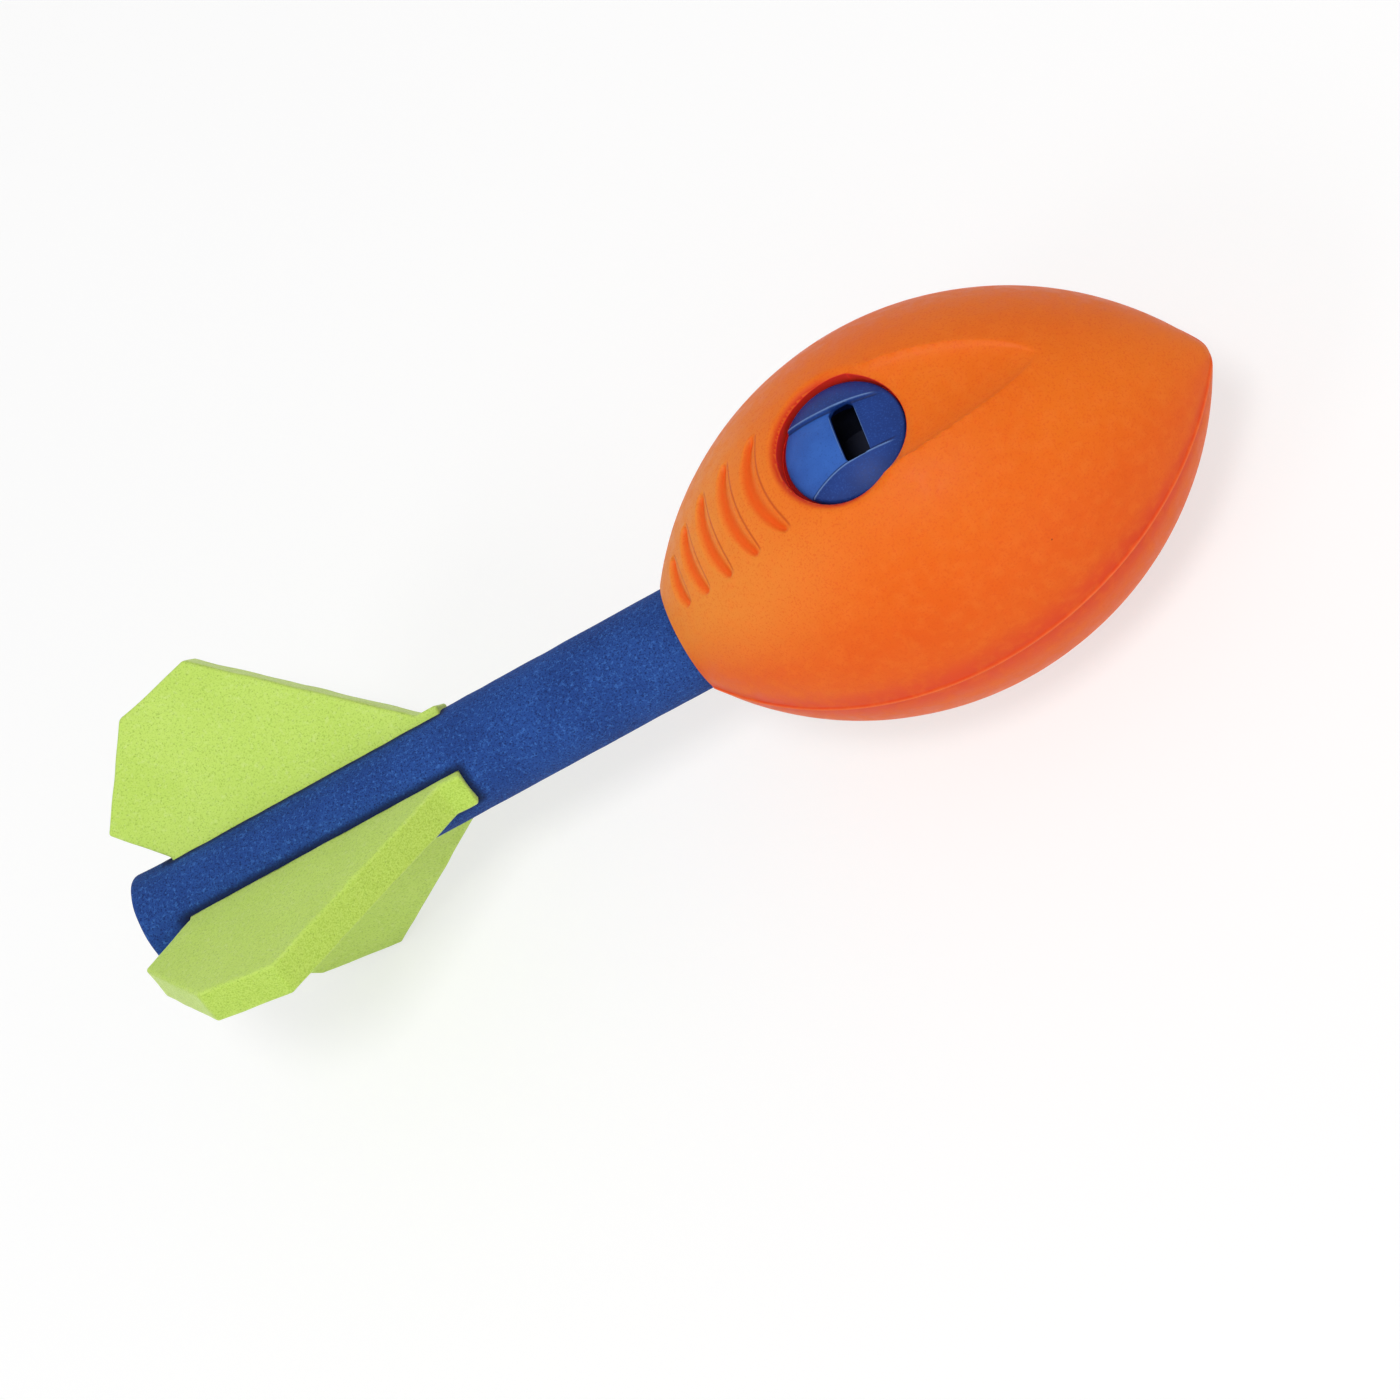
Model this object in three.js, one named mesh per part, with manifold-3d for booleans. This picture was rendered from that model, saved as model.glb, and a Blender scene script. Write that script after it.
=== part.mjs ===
// A throwing toy: a foam ball with a whistle in each of two flanks, on a foam tail with three fins.
// Lengths are millimetres. +X runs along the toy to its nose and +Z is up.
// The origin is the middle of the tail's flat end.

import * as THREE from 'three';
import { mergeVertices } from 'three/addons/utils/BufferGeometryUtils.js';
import Module from 'manifold-3d';

const wasm = await Module();
wasm.setup();

// Fits shared by all pieces
const gap = 0.3; // clearance between neighbouring pieces
const overrun = 3; // how far a cutting shape runs past what it cuts
const weldDistance = 1e-4;

// Foam ball: a circular arc turned about the axis, with a small round nose
const ballRadius = 35;
const ballArcRadius = 62.7;
const noseRadius = 5;
const socketLip = 0.9; // flat ring of foam round the tail's socket
const seamWidth = 0.7; // mould line along both sides
const seamProud = 0.25;

// Tail: a foam rod with a plastic core
const tailReach = 115; // from the tail's end to the back of the ball
const tailRadius = 10;
const tailEdgeRound = 0.8;
const tailFlare = 0.3;
const tailFlareLength = 9;
const socketDepth = 38; // length of tail inside the ball
const coreRadius = 3.5;
const coreWall = 1;
const coreCover = 14; // foam left behind the core
const anchorRadius = 12;
const anchorThickness = 2;
const hubRadius = 6;
const hubLength = 5;

// Fins: foam sheet, glued into slits along the tail, the first one straight down
const finSides = ['lower', 'left', 'right'];
const finThickness = 7;
const finEdgeRound = 0.5;
const tongueDepth = 3; // how deep a fin sits in the tail
const finRootStart = 9.2; // root's two ends, from the tail's end
const finRootEnd = 67.5;
const finTipRise = 1.1; // blunt front end above the tail
const finNoseLength = 4.4;
const finShoulder = { along: 28.8, out: 40.6 };
const finHeel = { along: 12.7, out: 36.8 };
const finRear = { along: 0.2, out: 19 };

// Whistles: a slotted cap on a cup, in a pit in the foam, one facing up and one down
const whistleSides = ['upper', 'lower'];
const whistleSetback = 3.5; // behind the ball's widest place
const capRadius = 11.4;
const rimDepth = 4.3; // cap's rim below the ball's radius
const domeRise = 3.4;
const flangeThickness = 1.6;
const capCeilingDrop = 1; // inner ceiling below the rim
const spigotWall = 1;
const spigotLength = 2.5;
const cupRadius = 10.6;
const cupWall = 1;
const cupDepth = 13;
const slotWidth = 4;
const slotLength = 10.2;
const slotCorner = 0.8;
const slotOffset = 1.8; // towards the nose
const reliefWidth = 11.6; // of the ramp and of the fan, where they meet the slot
const rampDepth = 1.45; // ramp's level floor below the crown
const rampNarrowing = 0.7; // each side, where the ramp runs out of the dome
const fanDepth = 0.8;
const fanWidening = 1; // each side, at the rim
const pitRadius = 12;
const pitOffset = 0.3; // towards the tail
const pitFloorDrop = 1; // pit's floor below the rim
const pitFlare = 1.6; // rounding of the foam lip
const pitFlareDepth = 1.4;
const scoopLength = 35.8;
const scoopHalfWidth = 10.8;
const scoopDepth = 2.7;
const scoopTaper = 0.7; // power that draws the sides in towards the tip
const scoopFullness = 0.8; // power that shapes the hollow across; less is flatter
const scoopTipShare = 0.985; // last section, as a share of the scoop's length

// Grooves behind each whistle: centre distance, half length and bend
const grooves = [
  { back: 18, half: 10.6, bend: 3.2 },
  { back: 24.1, half: 10.3, bend: 2.2 },
  { back: 30.1, half: 9.3, bend: 1.5 },
  { back: 35.5, half: 7.6, bend: 1 },
  { back: 40.2, half: 5.4, bend: 0.6 },
];
const grooveHalfWidth = 1.6;
const grooveDepth = 0.9;
const grooveBlunt = 0.04; // keeps the ends from thinning to nothing

// Steps in round shapes
const aroundBall = 48;
const alongBall = 24;
const alongNose = 5;
const aroundTail = 40;
const aroundCap = 40;
const domeSteps = 6;
const scoopSteps = 12;
const scoopSides = 12;
const grooveSteps = 10;
const grooveSides = 4; // across the rounded bottom
const lipSteps = 3;
const cornerSteps = 3;
const edgeSteps = 2;

// Sizes worked out from the ones above
const socketRadius = tailRadius + gap;
const arcCentreDrop = ballArcRadius - ballRadius;
const ballBack = Math.sqrt(ballArcRadius ** 2 - (arcCentreDrop + socketRadius + socketLip) ** 2);
const noseCentre = Math.sqrt((ballArcRadius - noseRadius) ** 2 - arcCentreDrop ** 2);
const ballMiddle = tailReach + ballBack;
const tailLength = tailReach + socketDepth;
const rimHeight = ballRadius - rimDepth;
const crownHeight = rimHeight + domeRise;
const domeRadius = (capRadius ** 2 + domeRise ** 2) / (2 * domeRise);
const domeCentre = crownHeight - domeRadius;
const flangeUnder = rimHeight - flangeThickness;
const cupTop = flangeUnder - gap;
const cupBottom = cupTop - cupDepth;

// Distance of the ball's surface from its axis, at a place along the axis
function ballSurface(along) {
  return Math.sqrt(ballArcRadius ** 2 - along ** 2) - arcCentreDrop;
}

// Turns any closed geometry into a solid that can be cut and joined
function solid(geometry) {
  const bare = geometry.clone();
  bare.deleteAttribute('normal');
  bare.deleteAttribute('uv');
  const welded = mergeVertices(bare, weldDistance);
  const corners = [];
  const source = welded.index.array;
  for (let i = 0; i < source.length; i += 3) {
    const [a, b, c] = source.slice(i, i + 3);
    if (a !== b && b !== c && c !== a) corners.push(a, b, c);
  }
  return new wasm.Manifold(new wasm.Mesh({
    numProp: 3,
    vertProperties: new Float32Array(welded.attributes.position.array),
    triVerts: new Uint32Array(corners),
  }));
}

function geometryOf(body) {
  const mesh = body.getMesh();
  const geometry = new THREE.BufferGeometry();
  geometry.setAttribute('position', new THREE.BufferAttribute(mesh.vertProperties, 3));
  geometry.setIndex(new THREE.BufferAttribute(mesh.triVerts, 1));
  geometry.computeVertexNormals();
  return geometry;
}

// A profile of [radius, place] points turned about Z
function turned(points, segments) {
  const profile = points.map(([radius, place]) => new THREE.Vector2(radius, place));
  return new THREE.LatheGeometry(profile, segments).rotateX(Math.PI / 2);
}

// The same, turned about X
function turnedAlong(points, segments) {
  const profile = points.map(([radius, place]) => new THREE.Vector2(radius, place));
  return new THREE.LatheGeometry(profile, segments).rotateZ(-Math.PI / 2);
}

// A closed body through rings of points, with a point in the middle of each end
function lofted(rings) {
  const count = rings[0].length;
  const points = rings.flat();
  for (const ring of [rings[0], rings[rings.length - 1]]) {
    const middle = new THREE.Vector3();
    ring.forEach((point) => middle.add(point));
    points.push(middle.divideScalar(count));
  }
  const corners = [];
  for (let ring = 0; ring < rings.length - 1; ring += 1) {
    for (let side = 0; side < count; side += 1) {
      const next = (side + 1) % count;
      const a = ring * count + side;
      const b = ring * count + next;
      corners.push(a, b, b + count, a, b + count, a + count);
    }
  }
  const first = rings.length * count;
  const lastRing = (rings.length - 1) * count;
  for (let side = 0; side < count; side += 1) {
    const next = (side + 1) % count;
    corners.push(first, next, side);
    corners.push(first + 1, lastRing + side, lastRing + next);
  }
  const geometry = new THREE.BufferGeometry().setFromPoints(points);
  geometry.setIndex(corners);
  return geometry;
}

// A flat outline given thickness, centred on its own plane
function plate(shape, thickness) {
  const geometry = new THREE.ExtrudeGeometry(shape, { depth: thickness, bevelEnabled: false });
  return geometry.translate(0, 0, -thickness / 2);
}

function outline(points) {
  return new THREE.Shape(points.map(([x, y]) => new THREE.Vector2(x, y)));
}

// Ball outline from the back to the nose as [radius, place], moved outwards by an offset
function ballOutline(offset) {
  const points = [];
  for (let step = 0; step <= alongBall; step += 1) {
    const from = -Math.asin(ballBack / ballArcRadius);
    const to = Math.asin(noseCentre / (ballArcRadius - noseRadius));
    const angle = from + ((to - from) * step) / alongBall;
    const reach = ballArcRadius + offset;
    points.push([reach * Math.cos(angle) - arcCentreDrop, reach * Math.sin(angle)]);
  }
  for (let step = 1; step <= alongNose; step += 1) {
    const start = Math.acos(noseCentre / (ballArcRadius - noseRadius));
    const angle = start * (1 - step / alongNose);
    const reach = noseRadius + offset;
    points.push([reach * Math.sin(angle), noseCentre + reach * Math.cos(angle)]);
  }
  return points;
}

// A thin plate through the ball's middle, standing a little proud as the mould line
function mouldLine() {
  const upper = ballOutline(seamProud).map(([radius, place]) => [place, radius]);
  const lower = upper.slice(0, -1).reverse().map(([place, radius]) => [place, -radius]);
  return plate(outline([...upper, ...lower]), seamWidth);
}

// Hollow for the tail, the anchor's disc and its hub
function socketHollow() {
  const discFront = tailLength + gap + anchorThickness + gap;
  const hubFront = tailLength + gap + hubLength + gap;
  return turnedAlong([
    [0, tailReach - overrun],
    [socketRadius, tailReach - overrun],
    [socketRadius, tailLength],
    [anchorRadius + gap, tailLength],
    [anchorRadius + gap, discFront],
    [hubRadius + gap, discFront],
    [hubRadius + gap, hubFront],
    [0, hubFront],
  ], aroundTail);
}

// Well for the cup and the cap, in the whistle's own frame
function whistleWell() {
  return turned([
    [0, cupBottom - gap],
    [cupRadius + gap, cupBottom - gap],
    [cupRadius + gap, cupTop],
    [capRadius + gap, cupTop],
    [capRadius + gap, ballRadius + overrun],
    [0, ballRadius + overrun],
  ], aroundCap);
}

// Pit in the foam round the cap, with an eased lip
function whistlePit() {
  const lipTop = ballSurface(whistleSetback + pitRadius);
  const points = [[0, rimHeight - pitFloorDrop], [pitRadius, rimHeight - pitFloorDrop]];
  for (let step = 0; step <= lipSteps; step += 1) {
    const angle = (step / lipSteps) * (Math.PI / 2);
    const out = pitRadius + pitFlare * (1 - Math.cos(angle));
    points.push([out, lipTop - pitFlareDepth * (1 - Math.sin(angle))]);
  }
  points.push([pitRadius + pitFlare, ballRadius + overrun], [0, ballRadius + overrun]);
  return turned(points, aroundCap).translate(-pitOffset, 0, 0);
}

// Scoop that runs from the whistle towards the nose and closes to a rounded point
function scoop() {
  const rings = [];
  for (let step = 0; step <= scoopSteps; step += 1) {
    const share = (step / scoopSteps) * scoopTipShare;
    const along = share * scoopLength;
    const half = scoopHalfWidth * (1 - share ** 2) ** scoopTaper;
    const depth = scoopDepth * (1 - share ** 2);
    const radius = ballSurface(along - whistleSetback);
    const ring = [];
    for (let side = 0; side <= scoopSides; side += 1) {
      const angle = -Math.PI / 2 + (side / scoopSides) * Math.PI;
      const across = half * Math.sin(angle);
      const hollow = depth * Math.cos(angle) ** scoopFullness;
      ring.push(new THREE.Vector3(along, across, Math.sqrt(radius ** 2 - across ** 2) - hollow));
    }
    ring.push(new THREE.Vector3(along, half, ballRadius + overrun));
    ring.push(new THREE.Vector3(along, -half, ballRadius + overrun));
    rings.push(ring);
  }
  return lofted(rings);
}

// One crescent groove, thinning to its ends, bent round the whistle
function groove({ back, half, bend }) {
  const rings = [];
  for (let step = 0; step <= grooveSteps; step += 1) {
    const share = (2 * step) / grooveSteps - 1;
    const along = bend * share ** 2 - back - whistleSetback;
    const radius = ballSurface(along);
    const turn = (half * share) / radius;
    const slope = -along / (radius + arcCentreDrop);
    const meridian = new THREE.Vector3(1, slope * Math.sin(turn), slope * Math.cos(turn)).normalize();
    const outward = new THREE.Vector3(-slope, Math.sin(turn), Math.cos(turn)).normalize();
    const centre = new THREE.Vector3(0, Math.sin(turn), Math.cos(turn)).multiplyScalar(radius);
    centre.x = along + whistleSetback;
    const thin = Math.sqrt(1 + grooveBlunt - share ** 2);
    const ring = [];
    const add = (across, deep) => {
      const point = centre.clone().addScaledVector(meridian, across);
      ring.push(point.addScaledVector(outward, -deep));
    };
    for (let side = 0; side <= grooveSides; side += 1) {
      const angle = (side / grooveSides) * Math.PI;
      add(grooveHalfWidth * thin * Math.cos(angle), grooveDepth * thin * Math.sin(angle));
    }
    add(-grooveHalfWidth * thin, -overrun);
    add(grooveHalfWidth * thin, -overrun);
    rings.push(ring);
  }
  return lofted(rings);
}

// Turn of each whistle about the toy's axis, from straight up
function whistleTurn(index) {
  return (index / whistleSides.length) * 2 * Math.PI;
}

// Turn of each fin about the toy's axis, from straight up
function finTurn(index) {
  return Math.PI + (index / finSides.length) * 2 * Math.PI;
}

function foamBall() {
  const profile = ballOutline(0).map(([radius, place]) => [radius, ballMiddle + place]);
  let body = solid(turnedAlong([[0, tailReach], ...profile], aroundBall));
  body = body.add(solid(mouldLine().translate(ballMiddle, 0, 0)));
  whistleSides.forEach((side, index) => {
    for (const cutter of [whistleWell(), whistlePit(), scoop(), ...grooves.map(groove)]) {
      cutter.rotateX(whistleTurn(index)).translate(ballMiddle - whistleSetback, 0, 0);
      body = body.subtract(solid(cutter));
    }
  });
  return geometryOf(body.subtract(solid(socketHollow())));
}

function capBlank() {
  const points = [
    [0, rimHeight - capCeilingDrop],
    [cupRadius - cupWall - gap - spigotWall, rimHeight - capCeilingDrop],
    [cupRadius - cupWall - gap - spigotWall, flangeUnder - spigotLength],
    [cupRadius - cupWall - gap, flangeUnder - spigotLength],
    [cupRadius - cupWall - gap, flangeUnder],
    [capRadius, flangeUnder],
  ];
  for (let step = 0; step <= domeSteps; step += 1) {
    const angle = Math.asin(capRadius / domeRadius) * (1 - step / domeSteps);
    points.push([domeRadius * Math.sin(angle), domeCentre + domeRadius * Math.cos(angle)]);
  }
  return turned(points, aroundCap);
}

// Air slot through the cap, a rectangle with eased corners
function slotCutter() {
  const inX = slotWidth / 2 - slotCorner;
  const inY = slotLength / 2 - slotCorner;
  const shape = new THREE.Shape();
  [[1, 1], [-1, 1], [-1, -1], [1, -1]].forEach(([x, y], quarter) => {
    const from = (quarter * Math.PI) / 2;
    shape.absarc(x * inX, y * inY, slotCorner, from, from + Math.PI / 2);
  });
  const height = domeRise + capCeilingDrop + 2 * overrun;
  const settings = { depth: height, bevelEnabled: false, curveSegments: cornerSteps };
  return new THREE.ExtrudeGeometry(shape, settings)
    .translate(slotOffset, 0, rimHeight - capCeilingDrop - overrun);
}

// Level ramp that carries the air into the slot from the nose side, narrowing away from it
function rampCutter() {
  const reach = capRadius + overrun;
  const rampEnd = Math.sqrt(domeRadius ** 2 - (domeRadius - rampDepth) ** 2);
  const half = reliefWidth / 2;
  const end = half - (rampNarrowing * (reach - slotOffset)) / (rampEnd - slotOffset);
  const above = outline([
    [slotOffset, -half],
    [reach, -end],
    [reach, end],
    [slotOffset, half],
  ]);
  const height = rampDepth + overrun;
  return plate(above, height).translate(0, 0, crownHeight - rampDepth + height / 2);
}

// Relief behind the slot, widening to the rim, with the dome's own curve lowered as its floor
function fanCutter() {
  const slotBack = slotOffset - slotWidth / 2;
  const reach = capRadius + overrun;
  const half = reliefWidth / 2;
  const end = half + (fanWidening * (slotBack + reach)) / (slotBack + capRadius);
  const above = outline([
    [slotOffset, half],
    [slotBack, half],
    [-reach, end],
    [-reach, -end],
    [slotBack, -half],
    [slotOffset, -half],
  ]);
  const height = domeRise + 2 * overrun;
  const prism = solid(plate(above, height).translate(0, 0, crownHeight));
  const lowered = [[0, rimHeight - height]];
  for (let step = 0; step <= domeSteps; step += 1) {
    const angle = Math.asin((capRadius + overrun) / domeRadius) * (1 - step / domeSteps);
    const radius = domeRadius * Math.sin(angle);
    if (step === 0) lowered.push([radius, rimHeight - height]);
    lowered.push([radius, domeCentre - fanDepth + domeRadius * Math.cos(angle)]);
  }
  return prism.subtract(solid(turned(lowered, aroundCap)));
}

function whistleCap() {
  const cutters = [solid(slotCutter()), solid(rampCutter()), fanCutter()];
  return geometryOf(cutters.reduce((body, cutter) => body.subtract(cutter), solid(capBlank())));
}

function whistleCup() {
  return geometryOf(solid(turned([
    [0, cupBottom],
    [cupRadius, cupBottom],
    [cupRadius, cupTop],
    [cupRadius - cupWall, cupTop],
    [cupRadius - cupWall, cupBottom + cupWall],
    [0, cupBottom + cupWall],
  ], aroundCap)));
}

function tailSleeve() {
  const points = [[0, 0]];
  for (let step = 0; step <= lipSteps; step += 1) {
    const angle = (step / lipSteps) * (Math.PI / 2);
    const radius = tailRadius + tailFlare - tailEdgeRound * (1 - Math.sin(angle));
    points.push([radius, tailEdgeRound * (1 - Math.cos(angle))]);
  }
  points.push([tailRadius, tailFlareLength], [tailRadius, tailLength], [0, tailLength]);
  let body = solid(turnedAlong(points, aroundTail));
  body = body.subtract(solid(turnedAlong([
    [0, coreCover - gap],
    [coreRadius + gap, coreCover - gap],
    [coreRadius + gap, tailLength + overrun],
    [0, tailLength + overrun],
  ], aroundTail)));
  const slitFloor = tailRadius - tongueDepth - gap;
  const slitHeight = tongueDepth + gap + overrun;
  const slitLength = finRootEnd - finRootStart + 2 * gap;
  finSides.forEach((side, index) => {
    const slit = new THREE.BoxGeometry(slitLength, finThickness + 2 * gap, slitHeight);
    slit.translate((finRootStart + finRootEnd) / 2, 0, slitFloor + slitHeight / 2);
    body = body.subtract(solid(slit.rotateX(finTurn(index))));
  });
  return geometryOf(body);
}

function tailCore() {
  const front = tailLength + gap + hubLength;
  return geometryOf(solid(turnedAlong([
    [coreRadius - coreWall, coreCover],
    [coreRadius, coreCover],
    [coreRadius, front],
    [coreRadius - coreWall, front],
    [coreRadius - coreWall, coreCover],
  ], aroundTail)));
}

function coreAnchor() {
  const back = tailLength + gap;
  return geometryOf(solid(turnedAlong([
    [coreRadius + gap, back],
    [anchorRadius, back],
    [anchorRadius, back + anchorThickness],
    [hubRadius, back + anchorThickness],
    [hubRadius, back + hubLength],
    [coreRadius + gap, back + hubLength],
    [coreRadius + gap, back],
  ], aroundTail)));
}

// One fin lying in the XY plane, with Y as its distance from the toy's axis
function fin() {
  const root = tailRadius - tongueDepth;
  const front = tailRadius + finTipRise;
  const shape = outline([
    [finRootStart, root],
    [finRootEnd, root],
    [finRootEnd, front],
    [finRootEnd - finNoseLength, front],
    [finShoulder.along, finShoulder.out],
    [finHeel.along, finHeel.out],
    [finRear.along, finRear.out],
    [finRootStart, tailRadius],
  ]);
  const geometry = new THREE.ExtrudeGeometry(shape, {
    depth: finThickness - 2 * finEdgeRound,
    bevelThickness: finEdgeRound,
    bevelSize: finEdgeRound,
    bevelOffset: -finEdgeRound,
    bevelSegments: edgeSteps,
  });
  return geometryOf(solid(geometry.translate(0, 0, finEdgeRound - finThickness / 2)));
}

const finishes = {
  foam: { color: 0xea7630, roughness: 0.55, metalness: 0 },
  whistle: { color: 0x2f5bb0, roughness: 0.35, metalness: 0 },
  tail: { color: 0x2c5596, roughness: 0.8, metalness: 0 },
  fin: { color: 0xbfdc67, roughness: 0.85, metalness: 0 },
  core: { color: 0xd9d9d2, roughness: 0.45, metalness: 0 },
};

const toy = new THREE.Group();

function place(name, geometry, finish) {
  const mesh = new THREE.Mesh(geometry, new THREE.MeshStandardMaterial(finishes[finish]));
  mesh.name = name;
  toy.add(mesh);
  return mesh;
}

place('foam_ball', foamBall(), 'foam');
place('tail_sleeve', tailSleeve(), 'tail');
place('tail_core', tailCore(), 'core');
place('core_anchor', coreAnchor(), 'core');

whistleSides.forEach((side, index) => {
  const pieces = [
    place(`whistle_cap_${side}`, whistleCap(), 'whistle'),
    place(`whistle_cup_${side}`, whistleCup(), 'whistle'),
  ];
  for (const piece of pieces) {
    piece.position.x = ballMiddle - whistleSetback;
    piece.rotation.x = whistleTurn(index);
  }
});

finSides.forEach((side, index) => {
  place(`fin_${side}`, fin(), 'fin').rotation.x = Math.PI / 2 + finTurn(index);
});

export default toy;
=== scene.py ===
import math

import bmesh
import bpy
import numpy as np
from mathutils import Matrix, Quaternion, Vector, noise


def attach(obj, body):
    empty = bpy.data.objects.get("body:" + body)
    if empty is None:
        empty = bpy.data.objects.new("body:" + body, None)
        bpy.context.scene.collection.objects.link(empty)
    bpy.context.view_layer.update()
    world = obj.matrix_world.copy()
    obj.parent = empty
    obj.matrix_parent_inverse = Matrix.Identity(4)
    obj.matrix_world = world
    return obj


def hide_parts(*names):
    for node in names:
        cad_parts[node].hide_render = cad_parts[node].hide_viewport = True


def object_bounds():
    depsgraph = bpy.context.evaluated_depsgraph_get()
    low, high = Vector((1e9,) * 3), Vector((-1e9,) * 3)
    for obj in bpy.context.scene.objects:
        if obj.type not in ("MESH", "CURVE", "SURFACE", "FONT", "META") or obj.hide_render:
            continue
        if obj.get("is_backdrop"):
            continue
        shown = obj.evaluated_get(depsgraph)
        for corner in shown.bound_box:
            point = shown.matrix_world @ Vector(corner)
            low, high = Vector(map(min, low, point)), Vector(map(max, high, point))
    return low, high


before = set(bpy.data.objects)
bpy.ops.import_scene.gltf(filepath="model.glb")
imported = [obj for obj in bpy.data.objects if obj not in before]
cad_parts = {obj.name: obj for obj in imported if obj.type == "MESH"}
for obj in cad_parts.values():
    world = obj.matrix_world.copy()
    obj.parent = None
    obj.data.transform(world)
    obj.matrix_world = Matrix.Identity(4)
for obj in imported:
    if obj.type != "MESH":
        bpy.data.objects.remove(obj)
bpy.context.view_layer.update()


# The ball is one lump of orange foam, moulded with its own smooth skin in a two-part mould that
# leaves a thin raised line along both sides. The tail's socket and the two whistle wells are
# moulded in, and each flank has a scoop ahead of its whistle and five grooves behind it.

BALL_RADIUS = 0.035
BALL_ARC = 0.0627
BALL_NOSE = 0.005
BALL_BACK = 0.115
SOCKET_RADIUS = 0.0103
SOCKET_LIP = 0.0009
SOCKET_BORES = [  # from, to and radius, for the tail, the anchor's disc and its hub
    (0.1120, 0.1530, SOCKET_RADIUS),
    (0.1529, 0.1556, 0.0123),
    (0.1555, 0.1586, 0.0063),
]
ARC_DROP = BALL_ARC - BALL_RADIUS
ARC_END = math.sqrt(BALL_ARC**2 - ARC_DROP**2)
ARC_POINTS = 921
SPIN_START = -24
SPIN_ZONES = [(64, 48), (12, 63), (24, 6), (12, 63)] * 2  # steps and degrees of each
BALL_MIDDLE = BALL_BACK + math.sqrt(BALL_ARC**2 - (ARC_DROP + SOCKET_RADIUS + SOCKET_LIP) ** 2)
NOSE_CENTRE = math.sqrt((BALL_ARC - BALL_NOSE) ** 2 - ARC_DROP**2)
WHISTLE_SETBACK = 0.0035
WHISTLE_PLACE = BALL_MIDDLE - WHISTLE_SETBACK
WELL_RADIUS = 0.0109
WELL_BOTTOM = 0.0155
WELL_TOP = 0.0300
PIT_RADIUS = 0.0120
PIT_BACK = 0.0003
PIT_FLOOR = 0.0288
PIT_TOP = 0.0400
LIP_WIDTH = 0.0018
LIP_DROP = 0.0004
LIP_DROP_BEHIND = 0.0009
SCOOP_LENGTH = 0.0358
SCOOP_HALF_WIDTH = 0.0108
SCOOP_DEPTH = 0.0036
SCOOP_MOUTH = 0.002
SCOOP_TAPER = 0.7
SCOOP_HOLLOW = 0.68
GROOVES = [  # place behind the whistle, half length and bend
    (0.0180, 0.0106, 0.0032),
    (0.0241, 0.0103, 0.0022),
    (0.0301, 0.0093, 0.0015),
    (0.0355, 0.0076, 0.0010),
    (0.0402, 0.0054, 0.0006),
]
GROOVE_HALF_WIDTH = 0.0022
GROOVE_DEPTH = 0.0010
STEP_SHADE_WIDTH = 0.0003
GROOVE_MARGINS = (0.0055, 0.0025)
GROOVE_REACH = 0.0118
GROOVE_LOWEST = 0.008
FLANK_START = 0.004
SEAM_HEIGHT = 0.00036
SEAM_HALF_WIDTH = 0.00042
SEAM_CURVE = 1.6
LIT_BACK_FADE = (-0.034, -0.004)  # where the painted light on the back fades out, from the ball's middle


def take(piece):
    """Selects this piece and nothing else."""
    bpy.ops.object.select_all(action="DESELECT")
    piece.select_set(True)
    bpy.context.view_layer.objects.active = piece


def name_piece(name):
    """Names the piece just made and puts its place into its mesh."""
    piece = bpy.context.object
    piece.name = name
    piece.data.name = name
    take(piece)
    bpy.ops.object.transform_apply(location=True, rotation=True, scale=True)
    return piece


def edit(piece, kind="VERT"):
    """Opens the piece in edit mode with nothing selected."""
    take(piece)
    bpy.ops.object.mode_set(mode="EDIT")
    bpy.ops.mesh.select_mode(type=kind)
    bpy.ops.mesh.select_all(action="DESELECT")


def pick_faces(piece, test):
    """Selects the faces whose middle passes the test, in edit mode."""
    mesh = bmesh.from_edit_mesh(piece.data)
    for face in mesh.faces:
        if test(face.calc_center_median()):
            face.select_set(True)
    bmesh.update_edit_mesh(piece.data)


def close_up(piece):
    """Merges doubled points and turns all faces outwards."""
    edit(piece)
    bpy.ops.mesh.select_all(action="SELECT")
    bpy.ops.mesh.remove_doubles(threshold=2e-6)
    bpy.ops.mesh.normals_make_consistent(inside=False)
    bpy.ops.object.mode_set(mode="OBJECT")


def carve(piece, cutter, operation="DIFFERENCE"):
    """Cuts, joins or overlaps a piece with a cutter, which is then thrown away."""
    cut = piece.modifiers.new("cut", "BOOLEAN")
    cut.operation = operation
    cut.solver = "MANIFOLD"
    cut.object = cutter
    take(piece)
    bpy.ops.object.modifier_apply(modifier=cut.name)
    bpy.data.objects.remove(cutter)


def points_of(piece):
    """The mesh points of a piece as an array."""
    flat = np.empty(len(piece.data.vertices) * 3)
    piece.data.vertices.foreach_get("co", flat)
    return flat.reshape(-1, 3)


def put_points(piece, points):
    """Writes an array of points back into a piece."""
    piece.data.vertices.foreach_set("co", np.ascontiguousarray(points).ravel())
    piece.data.update()


def ease(low, high, value):
    """Runs smoothly from 0 at low to 1 at high."""
    share = np.clip((value - low) / (high - low), 0, 1)
    return share * share * (3 - 2 * share)


def shade(piece, degrees):
    """Smooth shading that keeps edges sharper than the angle."""
    take(piece)
    bpy.ops.object.shade_smooth_by_angle(angle=math.radians(degrees))


def carries_grooves(middle):
    """Whether a face of the skin with this middle lies where the grooves run."""
    behind = WHISTLE_PLACE - middle.x
    first = GROOVES[0][0] - GROOVE_MARGINS[0]
    last = GROOVES[-1][0] + GROOVE_MARGINS[1]
    beside = abs(middle.y) < GROOVE_REACH and abs(middle.z) > GROOVE_LOWEST
    return first < behind < last and beside


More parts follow.
